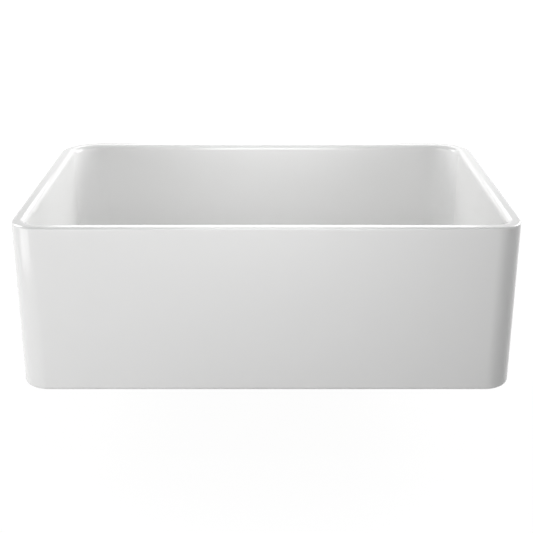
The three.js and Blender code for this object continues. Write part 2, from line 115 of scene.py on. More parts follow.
class Graph:
    """The node graph of a material or of the world, under construction."""

    def __init__(self, tree: bpy.types.NodeTree) -> None:
        """Starts an empty graph in a node tree."""
        self.tree = tree
        tree.nodes.clear()

    def node(
        self,
        kind: str,
        settings: Mapping[str, Any] | None = None,
        inputs: Mapping[str | int, Any] | None = None,
        output: str | None = None,
    ) -> Signal:
        """Adds a node.

        Args:
            kind: The node's type, such as "ShaderNodeMath".
            settings: What is set on the node first, such as a Math node's operation.
            inputs: Values or signals for its sockets, by name or place.
            output: The name of the socket that is wanted, or else its first.

        Returns:
            The wanted output.
        """
        made = self.tree.nodes.new(kind)
        for name, value in (settings or {}).items():
            setattr(made, name, value)
        for key, value in (inputs or {}).items():
            socket = self._input(made, key)
            if isinstance(value, Signal):
                self.tree.links.new(value.socket, socket)
            else:
                socket.default_value = value
        wanted = [s for s in made.outputs if s.enabled and output in (None, s.name)]
        return Signal(self, wanted[0] if wanted else None)

    @staticmethod
    def _input(made: bpy.types.Node, key: str | int) -> bpy.types.NodeSocket:
        """The enabled input of a node with a name, or the one at a place."""
        if isinstance(key, int):
            return made.inputs[key]
        return next(s for s in made.inputs if s.name == key and s.enabled)

    def mix(self, share: Signal | float, first: Any, second: Any) -> Signal:
        """A colour between two colours."""
        inputs = {"Factor": share, "A": self._rgba(first), "B": self._rgba(second)}
        return self.node("ShaderNodeMix", {"data_type": "RGBA"}, inputs, "Result")

    @staticmethod
    def _rgba(colour: Any) -> Any:
        """A colour of three numbers with its fourth, or a signal as it is."""
        return colour if isinstance(colour, Signal) else (*colour, 1)

    def step(self, value: Signal, low: float, high: float) -> Signal:
        """A smooth step from 0 at low to 1 at high."""
        return self.node(
            "ShaderNodeMapRange",
            {"interpolation_type": "SMOOTHSTEP"},
            {"Value": value, "From Min": low, "From Max": high},
        )

    def place(self) -> Signal:
        """The point of the piece that is shaded, in metres."""
        return self.node("ShaderNodeTexCoord", output="Object")

    def vector(self, operation: str, first: Any, second: Any) -> Signal:
        """A Vector Math node on two vectors."""
        return self.node("ShaderNodeVectorMath", {"operation": operation}, {0: first, 1: second})

    def noise(self, at: Signal, size: float, detail: float = 2, rough: float = 0.5) -> Signal:
        """Noise from 0 to 1.

        Args:
            at: The point, in metres.
            size: The width of its largest lumps, in metres.
            detail: How many finer layers it has.
            rough: How strong the finer layers are.

        Returns:
            The noise's value.
        """
        return self.node(
            "ShaderNodeTexNoise",
            inputs={"Vector": at, "Scale": 1 / size, "Detail": detail, "Roughness": rough},
        )

    def bump(self, height: Signal) -> Signal:
        """The surface normal of a relief whose height is in metres."""
        inputs = {"Height": height, "Distance": 1.0, "Strength": 1.0}
        return self.node("ShaderNodeBump", inputs=inputs)


class Paint(Graph):
    """The graph of one finish."""

    def __init__(self, name: str) -> None:
        """Starts the graph of a new material."""
        self.material = bpy.data.materials.new(name)
        self.material.use_nodes = True
        super().__init__(self.material.node_tree)

    def surface(self, **sockets: Any) -> bpy.types.Material:
        """Ends the graph in a Principled surface.

        Args:
            **sockets: Values or signals of its sockets, by name with _ for a space.

        Returns:
            The finished material.
        """
        inputs = {name.replace("_", " "): value for name, value in sockets.items()}
        shader = self.node("ShaderNodeBsdfPrincipled", inputs=inputs)
        self.node("ShaderNodeOutputMaterial", inputs={"Surface": shader})
        return self.material

    def rings_about(self, axis: Vector, pitch: float, drift: float) -> Signal:
        """Fine turning lines round an upright axis, as noise from 0 to 1.

        Args:
            axis: A point of the axis.
            pitch: The spacing of the lines, in metres.
            drift: How much the lines change in one turn, in line widths.

        Returns:
            The lines' value.
        """
        arm = self.vector("MULTIPLY", self.vector("SUBTRACT", self.place(), tuple(axis)), (1, 1, 0))
        radius = self.node("ShaderNodeVectorMath", {"operation": "LENGTH"}, {0: arm}, "Value")
        level = self.node("ShaderNodeSeparateXYZ", inputs={0: self.place()}, output="Z")
        along = self.node("ShaderNodeVectorMath", {"operation": "NORMALIZE"}, {0: arm}, "Vector")
        turn = self.node("ShaderNodeVectorMath", {"operation": "SCALE"}, {0: along, "Scale": drift})
        across = self.node(
            "ShaderNodeCombineXYZ", inputs={"X": radius / pitch, "Y": level / pitch, "Z": 0.0}
        )
        lines = self.vector("ADD", across, turn)
        return self.noise(lines, size=1.0, detail=3, rough=0.6)


# ------------------------------------------------------------------ finishes


@dataclass(frozen=True)
class Glaze:
    """Gloss white glaze, wiped off the underside, where the fireclay is bare."""

    thick: Colour = (0.78, 0.78, 0.777)
    thin: Colour = (0.77, 0.77, 0.766)
    clay: Colour = (0.64, 0.57, 0.46)
    roughness: float = 0.13
    pool_size: float = 140 * MM
    wave_size: float = 75 * MM
    wave_height: float = 0.012 * MM
    peel_size: float = 5 * MM
    peel_height: float = 0.003 * MM
    grain_size: float = 1.1 * MM
    grain_height: float = 0.12 * MM
    wipe_size: float = 30 * MM
    wipe_wander: float = 0.12
    wipe_edge: Span = (0.80, 0.88)
    pool_roughness: float = 0.05
    clay_roughness: float = 0.75
    clay_shade: float = 0.82

    def material(self) -> bpy.types.Material:
        """The glaze and the bare clay as one material."""
        paint = Paint("white_glaze")
        place = paint.place()
        pools = paint.noise(place, self.pool_size, detail=2)
        waves = paint.noise(place, self.wave_size, detail=1)
        peel = paint.noise(place, self.peel_size, detail=1)
        grain = paint.noise(place, self.grain_size, detail=4, rough=0.7)
        facing = paint.node("ShaderNodeTexCoord", output="Normal")
        upward = paint.node("ShaderNodeSeparateXYZ", inputs={0: facing}, output="Z")
        wiped = paint.noise(place, self.wipe_size, detail=3) - 0.5
        bare = paint.step(wiped * self.wipe_wander - upward, *self.wipe_edge)
        glazed = paint.mix(pools, self.thin, self.thick)
        mottled = paint.mix(grain, self.clay, tuple(self.clay_shade * c for c in self.clay))
        relief = (1 - bare) * (waves * self.wave_height + peel * self.peel_height)
        return paint.surface(
            Base_Color=paint.mix(bare, glazed, mottled),
            Roughness=self.roughness + self.pool_roughness * pools + self.clay_roughness * bare,
            Normal=paint.bump(relief + bare * grain * self.grain_height),
            IOR=1.52,
        )


@dataclass(frozen=True)
class TurnedSteel:
    """Stainless steel with the fine lines of turning and polishing round its axis."""

    name: str
    axis: Vector
    colour: Colour
    roughness: float
    line_pitch: float = 0.16 * MM
    line_height: float = 0.002 * MM
    line_drift: float = 2.5
    line_shade: float = 0.9
    smear_size: float = 16 * MM
    least_share: float = 0.7
    line_share: float = 0.35
    smear_share: float = 0.35

    def material(self) -> bpy.types.Material:
        """The steel as a material."""
        paint = Paint(self.name)
        lines = paint.rings_about(self.axis, self.line_pitch, self.line_drift)
        smears = paint.noise(paint.place(), self.smear_size, detail=3)
        darker = tuple(self.line_shade * c for c in self.colour)
        share = self.least_share + self.line_share * lines + self.smear_share * smears
        return paint.surface(
            Base_Color=paint.mix(lines, self.colour, darker),
            Metallic=1.0,
            Roughness=self.roughness * share,
            Normal=paint.bump(lines * self.line_height),
        )


@dataclass(frozen=True)
class CastZinc:
    """Dull die-cast zinc, with a fine skin and darker flow marks."""

    bright: Colour = (0.50, 0.51, 0.52)
    dark: Colour = (0.33, 0.34, 0.35)
    skin_size: float = 0.9 * MM
    skin_height: float = 0.03 * MM
    flow_size: float = 14 * MM
    flow_edge: Span = (0.35, 0.70)
    roughness: float = 0.40
    skin_roughness: float = 0.16
    flow_roughness: float = 0.08

    def material(self) -> bpy.types.Material:
        """The zinc as a material."""
        paint = Paint("cast_zinc")
        place = paint.place()
        skin = paint.noise(place, self.skin_size, detail=4, rough=0.65)
        flow = paint.noise(place, self.flow_size, detail=4, rough=0.6)
        return paint.surface(
            Base_Color=paint.mix(paint.step(flow, *self.flow_edge), self.bright, self.dark),
            Metallic=1.0,
            Roughness=self.roughness + self.skin_roughness * skin + self.flow_roughness * flow,
            Normal=paint.bump(skin * self.skin_height + flow * self.skin_height),
        )


@dataclass(frozen=True)
class Rubber:
    """Matt black moulded rubber with a little dust bloom."""

    colour: Colour = (0.022, 0.022, 0.023)
    bloom: Colour = (0.075, 0.075, 0.073)
    pore_size: float = 0.5 * MM
    pore_height: float = 0.02 * MM
    bloom_size: float = 9 * MM
    bloom_edge: Span = (0.45, 0.85)
    roughness: float = 0.62
    bloom_roughness: float = 0.2
    pore_roughness: float = 0.1

    def material(self) -> bpy.types.Material:
        """The rubber as a material."""
        paint = Paint("black_rubber")
        place = paint.place()
        pores = paint.noise(place, self.pore_size, detail=3, rough=0.7)
        dust = paint.noise(place, self.bloom_size, detail=5, rough=0.65)
        bloom = paint.step(dust, *self.bloom_edge)
        return paint.surface(
            Base_Color=paint.mix(bloom, self.colour, self.bloom),
            Roughness=self.roughness + self.bloom_roughness * bloom + self.pore_roughness * pores,
            Normal=paint.bump(pores * self.pore_height),
        )


@dataclass(frozen=True)
class FibreBoard:
    """Pressed grey-brown fibre, with its strands in the sheet."""

    pale: Colour = (0.40, 0.33, 0.22)
    deep: Colour = (0.24, 0.19, 0.12)
    strand_size: float = 5 * MM
    strand_height: float = 0.04 * MM
    squeeze: Place = (1, 6, 12)
    roughness: float = 0.82
    strand_roughness: float = 0.12

    def material(self) -> bpy.types.Material:
        """The fibre as a material."""
        paint = Paint("fibre_board")
        squeezed = paint.vector("MULTIPLY", paint.place(), self.squeeze)
        strands = paint.noise(squeezed, self.strand_size, detail=5, rough=0.7)
        return paint.surface(
            Base_Color=paint.mix(strands, self.pale, self.deep),
            Roughness=self.roughness + self.strand_roughness * strands,
            Normal=paint.bump(strands * self.strand_height),
        )


@dataclass(frozen=True)
class WhitePlastic:
    """Natural polyethylene, waxy and slightly uneven."""

    colour: Colour = (0.80, 0.80, 0.77)
    shade: Colour = (0.72, 0.72, 0.68)
    lump_size: float = 7 * MM
    lump_height: float = 0.02 * MM
    roughness: float = 0.36
    lump_roughness: float = 0.14

    def material(self) -> bpy.types.Material:
        """The plastic as a material."""
        paint = Paint("white_plastic")
        lumps = paint.noise(paint.place(), self.lump_size, detail=3)
        return paint.surface(
            Base_Color=paint.mix(lumps, self.colour, self.shade),
            Roughness=self.roughness + self.lump_roughness * lumps,
            Normal=paint.bump(lumps * self.lump_height),
        )


class Slot(Enum):
    """The finishes of the sink, by the names of the record's material slots."""

    GLAZE = "white_glaze"
    BRUSHED = "brushed_steel"
    POLISHED = "polished_steel"
    ZINC = "cast_zinc"
    RUBBER = "black_rubber"
    FIBRE = "fibre_board"
    PLASTIC = "white_plastic"


class Finishes:
    """The materials of the sink, each made once."""

    def __init__(self, drain_axis: Vector) -> None:
        """Makes every finish, with turning lines round the drain's axis."""
        brushed = TurnedSteel("brushed_steel", drain_axis, (0.60, 0.605, 0.61), 0.27)
        polished = TurnedSteel(
            "polished_steel", drain_axis, (0.72, 0.725, 0.73), 0.10, line_height=0.0006 * MM
        )
        self._made = {
            Slot.GLAZE: Glaze().material(),
            Slot.BRUSHED: brushed.material(),
            Slot.POLISHED: polished.material(),
            Slot.ZINC: CastZinc().material(),
            Slot.RUBBER: Rubber().material(),
            Slot.FIBRE: FibreBoard().material(),
            Slot.PLASTIC: WhitePlastic().material(),
        }

    def __getitem__(self, slot: Slot) -> bpy.types.Material:
        """The material of a slot."""
        return self._made[slot]


# ------------------------------------------------------------------ meshes


def linked(name: str, data: bpy.types.ID) -> bpy.types.Object:
    """A new object of the scene, with its data."""
    made = bpy.data.objects.new(name, data)
    bpy.context.scene.collection.objects.link(made)
    return made


def even_steps(sweep: float, steps: int, start: float = 0.0) -> list[float]:
    """Values at even steps from a start to the end of a sweep, with both ends."""
    return [start + sweep * i / steps for i in range(steps + 1)]


class Ends(Enum):
    """How the skin of a lofted piece closes."""

    LOOP = "the last ring joins the first"
    POLES = "the first and last ring are single points"
    CAPS = "a flat face closes each end"


class Operation(Enum):
    """What one piece does to another, by Blender's name for it."""

    JOIN = "UNION"
    CUT = "DIFFERENCE"


def lofted(
    name: str, rings: Sequence[Sequence[Vector]], ends: Ends = Ends.LOOP
) -> bpy.types.Object:
    """A closed mesh whose skin joins rings of points.

    Args:
        name: The object's name.
        rings: The rings, with as many points each.
        ends: How the skin closes.

    Returns:
        The object, in the scene.
    """
    count = len(rings[0])
    pairs = [(i, i + 1) for i in range(len(rings) - 1)]
    if ends is Ends.LOOP:
        pairs.append((len(rings) - 1, 0))
    faces = []
    for low, high in pairs:
        for j in range(count):
            k = (j + 1) % count
            faces.append((low * count + j, low * count + k, high * count + k, high * count + j))
    if ends is Ends.CAPS:
        faces.append(tuple(reversed(range(count))))
        faces.append(tuple(range(count * (len(rings) - 1), count * len(rings))))
    mesh = bpy.data.meshes.new(name)
    mesh.from_pydata([point for ring in rings for point in ring], [], faces)
    return in_scene(name, mesh)


def in_scene(name: str, mesh: bpy.types.Mesh, sharp: float = 32) -> bpy.types.Object:
    """An object for a mesh, with doubled points merged, faces outward and edges shaded.

    Args:
        name: The object's name.
        mesh: Its mesh.
        sharp: The angle between faces, in degrees, from which an edge looks sharp.

    Returns:
        The object, in the scene.
    """
    work = bmesh.new()
    work.from_mesh(mesh)
    bmesh.ops.remove_doubles(work, verts=work.verts, dist=1e-6)
    bmesh.ops.recalc_face_normals(work, faces=work.faces)
    work.to_mesh(mesh)
    work.free()
    mesh.shade_smooth()
    mesh.set_sharp_from_angle(angle=math.radians(sharp))
    return linked(name, mesh)


def combined(
    first: bpy.types.Object, second: bpy.types.Object, operation: Operation
) -> bpy.types.Object:
    """Joins or cuts one mesh object with another, which is used up.

    Args:
        first: The object that is changed.
        second: The object that is added or taken away.
        operation: Whether the second one is joined on or cut away.

    Returns:
        A new object with the first one's name.
    """
    modifier = first.modifiers.new("shape", "BOOLEAN")
    modifier.operation = operation.value
    modifier.solver = "EXACT"
    modifier.object = second
    graph = bpy.context.evaluated_depsgraph_get()
    mesh = bpy.data.meshes.new_from_object(first.evaluated_get(graph))
    name = first.name
    for used in (first, second):
        bpy.data.objects.remove(used)
    mesh.name = name
    return in_scene(name, mesh)


def eased_edges(piece: bpy.types.Object, width: float, sharp: float = 35) -> bpy.types.Object:
    """Rounds the edges of a piece over a width, from an angle in degrees between their faces."""
    bevel = piece.modifiers.new("eased_edges", "BEVEL")
    bevel.width = width
    bevel.segments = 3
    bevel.limit_method = "ANGLE"
    bevel.angle_limit = math.radians(sharp)
    return piece


def bearing(plan: Vector) -> float:
    """The angle of a direction in plan."""
    return math.atan2(plan.y, plan.x)


def outward(angle: float) -> Vector:
    """The level direction at an angle, of length 1."""
    return Vector((math.cos(angle), math.sin(angle), 0))


@dataclass(frozen=True)
class Corner:
    """A corner of a turned section, rounded over the length of its cut."""

    radius: float
    height: float
    cut: float = 0.0


@dataclass(frozen=True)
class Ring:
    """One ring of a turned piece. Its radius or its height may depend on the angle."""

    radius: ByAngle
    height: ByAngle

    def point(self, angle: float, axis: Vector) -> Vector:
        """The ring's point at an angle about an upright axis."""
        radius = self.radius(angle) if callable(self.radius) else self.radius
        height = self.height(angle) if callable(self.height) else self.height
        x, y = axis.x + radius * math.cos(angle), axis.y + radius * math.sin(angle)
        return Vector((x, y, height))


def rounded(corners: Sequence[Corner], steps: int = 6) -> list[Ring]:
    """The rings of a closed section whose corners are rounded.

    Args:
        corners: The section's corners, in order.
        steps: How many chords a rounded corner has.

    Returns:
        Its rings, in the same order.
    """
    rings = []
    for i, corner in enumerate(corners):
        middle = Vector((corner.radius, corner.height))
        if not corner.cut:
            rings.append(Ring(*middle))
            continue
        before, after = corners[i - 1], corners[(i + 1) % len(corners)]
        start = middle + (Vector((before.radius, before.height)) - middle).normalized() * corner.cut
        end = middle + (Vector((after.radius, after.height)) - middle).normalized() * corner.cut
        for t in even_steps(1, steps):
            rings.append(Ring(*((1 - t) ** 2 * start + 2 * t * (1 - t) * middle + t * t * end)))
    return rings


def even_angles(steps: int) -> list[float]:
    """Angles at even steps round a full turn."""
    return [TAU * i / steps for i in range(steps)]


def turned(
    name: str,
    rings: Sequence[Ring],
    axis: Vector,
    angles: Sequence[float] | None = None,
    ends: Ends = Ends.LOOP,
) -> bpy.types.Object:
    """A piece turned about an upright axis.

    Args:
        name: The object's name.
        rings: The rings of its section.
        axis: A point of the axis.
        angles: The angles of its chords, or even ones if left out.
        ends: How its skin closes.

    Returns:
        The object, in the scene.
    """
    around = angles or even_angles(ROUND_STEPS)
    return lofted(name, [[ring.point(a, axis) for a in around] for ring in rings], ends)


@dataclass(frozen=True)
class Thread:
    """A screw thread cut into a round wall."""

    depth: float
    pitch: float
    steps: int = 6

    def rings(self, crest: float, start: float, end: float) -> list[Ring]:
        """The rings of a threaded wall.

        Args:
            crest: The wall's radius at the thread's crests.
            start: The height where the thread starts.
            end: The height where it ends, above or below the start.

        Returns:
            Its rings, from start to end.
        """
        count = math.ceil(abs(end - start) / self.pitch * self.steps)

        def ring(i: int) -> Ring:
            """One ring, whose radius follows the helix and runs out at both ends."""
            height = start + (end - start) * i / count
            fade = min(1.0, i / self.steps, (count - i) / self.steps)

            def radius(angle: float) -> float:
                """The wall's radius at an angle."""
                phase = (height / self.pitch - angle / TAU) % 1
                return crest - self.depth * fade * abs(2 * phase - 1)

            return Ring(radius, height)

        return [ring(i) for i in range(count + 1)]


@dataclass(frozen=True)
class Lugs:
    """The outline of a round nut with lugs that stand out of it."""

    radius: float
    reach: float
    width: float
    count: int

    def _half_angles(self) -> tuple[float, float]:
        """Half of the angle that a lug takes at its top, and at its root."""
        top = math.asin(self.width / 2 / (self.radius + self.reach))
        root = math.asin((self.width / 2 + self.reach / 2) / self.radius)
        return top, root

    def angles(self) -> list[float]:
        """The angles of the outline's points: fine round its arcs, and at each bend."""
        top, root = self._half_angles()
        pitch = TAU / self.count
        bends = [(-top, 4), (top, 3), (root, 6), (pitch - root, 3)]
        found = []
        for lug in range(self.count):
            for i, (start, steps) in enumerate(bends):
                end = bends[i + 1][0] if i + 1 < len(bends) else pitch - top
                found += [lug * pitch + start + (end - start) * k / steps for k in range(steps)]
        return found

    def outline(self, inset: float = 0.0) -> Callable[[float], float]:
        """The outline's radius by angle, less an inset."""
        top, root = self._half_angles()
        pitch = TAU / self.count

        def radius(angle: float) -> float:
            """The radius at an angle."""
            off = abs((angle + pitch / 2) % pitch - pitch / 2)
            share = min(1.0, max(0.0, (root - off) / (root - top)))
            return self.radius + self.reach * share - inset

        return radius


@dataclass(frozen=True)
class Room:
    """The room of a node of the frame: its radius about the drain's axis, and its two levels."""

    radius: float
    low: float
    high: float

    @staticmethod
    def of(node: str) -> "Room":
        """The room of a node, from its box."""
        low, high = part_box(node)
        return Room((high.x - low.x) / 2, low.z, high.z)


def flat_ring(
    name: str,
    room: Room,
    axis: Vector,
    bore: float,
    cuts: Sequence[float],
    steps: int = ROUND_STEPS,
) -> bpy.types.Object:
    """A flat turned ring that fills a room outside its bore.

    Args:
        name: The object's name.
        room: The room that it takes.
        axis: A point of its axis.
        bore: The radius of its bore.
        cuts: How far its corners are rounded, from the bore's foot round to the bore's top.
        steps: How many chords it has.

    Returns:
        The object, in the scene.
    """
    outer, low, high = room.radius, room.low, room.high
    places = [(bore, low), (outer, low), (outer, high), (bore, high)]
    corners = [Corner(*place, cut) for place, cut in zip(places, cuts)]
    return turned(name, rounded(corners), axis, even_angles(steps))


class Workshop:
    """Dresses pieces and hangs them on the bodies of the frame."""

    def __init__(self, finishes: Finishes) -> None:
        """Takes the finishes that it dresses pieces with."""
        self.finishes = finishes

    def fit(self, piece: bpy.types.Object, node: str, body: str, slot: Slot) -> None:
        """Dresses a piece and puts it in the place of a node.

        Args:
            piece: The finished mesh object.
            node: The node of the frame that it stands for.
            body: The body that it moves with.
            slot: Its finish.
        """
        piece.data.materials.clear()
        piece.data.materials.append(self.finishes[slot])
        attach(piece, body)
        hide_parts(node)
        log.info("%s: %d faces, on body %s", piece.name, len(piece.data.polygons), body)


# ------------------------------------------------------------------ basin


@dataclass(frozen=True)
class Corners:
    """The radii of a plan's two front corners and of its two back corners."""

    front: float
    back: float

    def set_in(self, inset: float) -> "Corners":
        """The radii of a plan with the same corner centres, set in by a length."""
        return Corners(self.front - inset, self.back - inset)


@dataclass(frozen=True)
class Plan:
    """A rounded rectangle, seen from above, by its half sizes and its corner radii."""

    half_x: float
    half_y: float
    corners: Corners

    def corner_point(self, corner: int, share: float) -> Vector:
        """The point at a share of a corner's quarter turn. Corners count from the back right."""
        sign_x, sign_y = [(1, 1), (-1, 1), (-1, -1), (1, -1)][corner % 4]
        radius = self.corners.back if sign_y > 0 else self.corners.front
        angle = (corner + share) * TAU / 4
        return Vector(
            (
                sign_x * (self.half_x - radius) + radius * math.cos(angle),
                sign_y * (self.half_y - radius) + radius * math.sin(angle),
            )
        )

    def point(self, station: "Station") -> Vector:
        """The plan's point at a station."""
        start = self.corner_point(station.corner, station.turn)
        return start.lerp(self.corner_point(station.corner + 1, 0), station.along)


@dataclass(frozen=True)
class Station:
    """A place round every plan: a share of a corner's turn, then a share of the side after it."""

    corner: int
    turn: float
    along: float = 0.0


@dataclass(frozen=True)
class Level:
    """A ring of the basin's section: its inset, its corner radii and its height."""

    inset: float
    corners: Corners
    height: float


@dataclass
class Basin:
    """The fireclay casting: apron, rim, bowl, drain opening and bearing band in one piece."""

    shop: Workshop
    wall: float = 22 * MM
    outer_corners: Corners = Corners(front=42 * MM, back=67 * MM)
    bowl_foot_corners: Corners = Corners(front=56 * MM, back=56 * MM)
    rim_outer_edge: float = 4 * MM
    rim_inner_edge: float = 10 * MM
    base_edge: float = 7 * MM
    draft: float = math.radians(1.2)
    floor_fillet: float = 32 * MM
    floor_height: float = 27 * MM
    floor_fall: float = 5 * MM
    relief_depth: float = 6 * MM
    bearing_width: float = 45 * MM
    relief_corners: Corners = Corners(front=30 * MM, back=30 * MM)
    hole_radius: float = 45 * MM
    hole_edge: float = 1.5 * MM
    recess_gap: float = 2.6 * MM
    recess_depth: float = 3.8 * MM
    recess_edge: float = 1.8 * MM
    corner_steps: int = 26
    edge_steps: int = 10
    fillet_steps: int = 20
    floor_steps: int = 10
    ray_spacing: float = math.radians(3)
    low: Vector = field(init=False)
    high: Vector = field(init=False)
    drain: Vector = field(init=False)

    def __post_init__(self) -> None:
        """Reads the casting's box and the drain's axis from the frame."""
        self.low, self.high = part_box("basin")
        self.drain = drain_axis().xy

    def build(self) -> None:
        """Models the casting and puts it in its place."""
        foot = self._bowl()[-1]
        floor = self._plan(foot)
        stations = self._stations(floor)
        outline = [floor.point(s) for s in stations]
        bearings = [bearing(p - self.drain) for p in outline]
        walls = [
            [self._plan(level).point(s).to_3d() + Vector((0, 0, level.height)) for s in stations]
            for level in [*self._underside(), *self._outside(), *self._bowl()]
        ]
        floors = [self._floor_ring(outline, bearings, i) for i in range(1, self.floor_steps)]
        axis = self.drain.to_3d()
        drains = [[ring.point(a, axis) for a in bearings] for ring in self._drain_hole()]
        piece = lofted("basin_casting", [*walls, *floors, *drains])
        weighted = piece.modifiers.new("flat_faces", "WEIGHTED_NORMAL")
        weighted.keep_sharp = True
        weighted.weight = 100
        self.shop.fit(piece, "basin", "sink", Slot.GLAZE)

    def _plan(self, level: Level) -> Plan:
        """The plan of a level."""
        half = (self.high - self.low) / 2
        return Plan(half.x - level.inset, half.y - level.inset, level.corners)

    def _stations(self, plan: Plan) -> list[Station]:
        """Even steps round the corners, and even angles from the drain along the sides."""
        stations = []
        for corner in range(4):
            stations += [Station(corner, turn) for turn in even_steps(1, self.corner_steps)]
            start = plan.corner_point(corner, 1) - self.drain
            end = plan.corner_point(corner + 1, 0) - self.drain
            side = end - start
            first = bearing(start)
            sweep = (bearing(end) - first) % TAU
            for angle in even_steps(sweep, math.ceil(sweep / self.ray_spacing), first)[1:-1]:
                ray = Vector((math.cos(angle), math.sin(angle)))
                stations.append(Station(corner, 1, -start.cross(ray) / side.cross(ray)))
        return stations

    def _underside(self) -> list[Level]:
        """The hollow of the base and the inner edge of its bearing band."""
        ramp = self.relief_depth
        return [
            Level(self.bearing_width + inset, self.relief_corners.set_in(inset - ramp), inset)
            for inset in (ramp, ramp / 2, 0)
        ]

    def _outside(self) -> list[Level]:
        """The outside from the bearing band to the top of the rim."""
        levels = []
        for angle in even_steps(TAU / 4, self.edge_steps):
            inset = self.base_edge * (1 - math.sin(angle))
            height = self.base_edge * (1 - math.cos(angle))
            levels.append(Level(inset, self.outer_corners.set_in(inset), height))
        for angle in even_steps(TAU / 4, self.edge_steps):
            inset = self.rim_outer_edge * (1 - math.cos(angle))
            height = self.high.z - self.rim_outer_edge * (1 - math.sin(angle))
            levels.append(Level(inset, self.outer_corners.set_in(inset), height))
        return levels

    def _bowl(self) -> list[Level]:
        """The bowl from the top of the rim to the foot of the floor's fillet."""
        lean = TAU / 4 - self.draft
        rim_centre = self.wall - self.rim_inner_edge * math.cos(self.draft)
        wall_top = self.high.z - self.rim_inner_edge * (1 - math.sin(self.draft))
        fillet_level = self.floor_height + self.floor_fall + self.floor_fillet
        fillet_top = fillet_level - self.floor_fillet * math.sin(self.draft)
        wall_foot = self.wall + math.tan(self.draft) * (wall_top - fillet_top)
        fillet_centre = wall_foot + self.floor_fillet * math.cos(self.draft)
        levels = []
        for angle in even_steps(lean, self.edge_steps):
            inset = rim_centre + self.rim_inner_edge * math.sin(angle)
            height = self.high.z - self.rim_inner_edge * (1 - math.cos(angle))
            levels.append(Level(inset, self.outer_corners.set_in(inset), height))
        for angle in even_steps(lean, self.fillet_steps, self.draft):
            inset = fillet_centre - self.floor_fillet * math.cos(angle)
            height = fillet_level - self.floor_fillet * math.sin(angle)
            levels.append(Level(inset, self.bowl_foot_corners.set_in(inset - wall_foot), height))
        return levels

    def _recess_radius(self) -> float:
        """The radius of the recess that takes the strainer's flange."""
        return Room.of("strainer_body").radius + self.recess_gap

    def _floor_ring(
        self, outline: Sequence[Vector], bearings: Sequence[float], i: int
    ) -> list[Vector]:
        """One ring of the floor, which dishes from the fillet to the drain.

        Args:
            outline: The foot of the fillet, in plan.
            bearings: The direction of each of its points from the drain.
            i: The ring's number, counted from the fillet.

        Returns:
            The ring's points.
        """
        share = 1 - i / self.floor_steps
        mouth = self._recess_radius() + self.recess_edge
        height = self.floor_height + self.floor_fall * math.sin(share * TAU / 4)
        ring = []
        for point, angle in zip(outline, bearings):
            inner = self.drain + mouth * outward(angle).xy
            ring.append(inner.lerp(point, share).to_3d() + Vector((0, 0, height)))
        return ring

    def _drain_hole(self) -> list[Ring]:
        """The recess for the flange and the hole through the floor."""
        rings = []
        recess = self._recess_radius()
        seat = self.floor_height - self.recess_depth
        for angle in even_steps(TAU / 4, self.edge_steps // 2):
            radius = recess + self.recess_edge * (1 - math.sin(angle))
            rings.append(Ring(radius, self.floor_height - self.recess_edge * (1 - math.cos(angle))))
        hole, edge = self.hole_radius, self.hole_edge
        rings += [Ring(recess, seat), Ring(hole + edge, seat), Ring(hole, seat - edge)]
        rings += [Ring(hole, self.relief_depth + edge), Ring(hole + edge, self.relief_depth)]
        return rings


# ------------------------------------------------------------------ drain


def drain_axis() -> Vector:
    """The point where the drain's axis meets the plane of the base."""
    low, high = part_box("strainer_body")
    return Vector(((low.x + high.x) / 2, (low.y + high.y) / 2, 0))


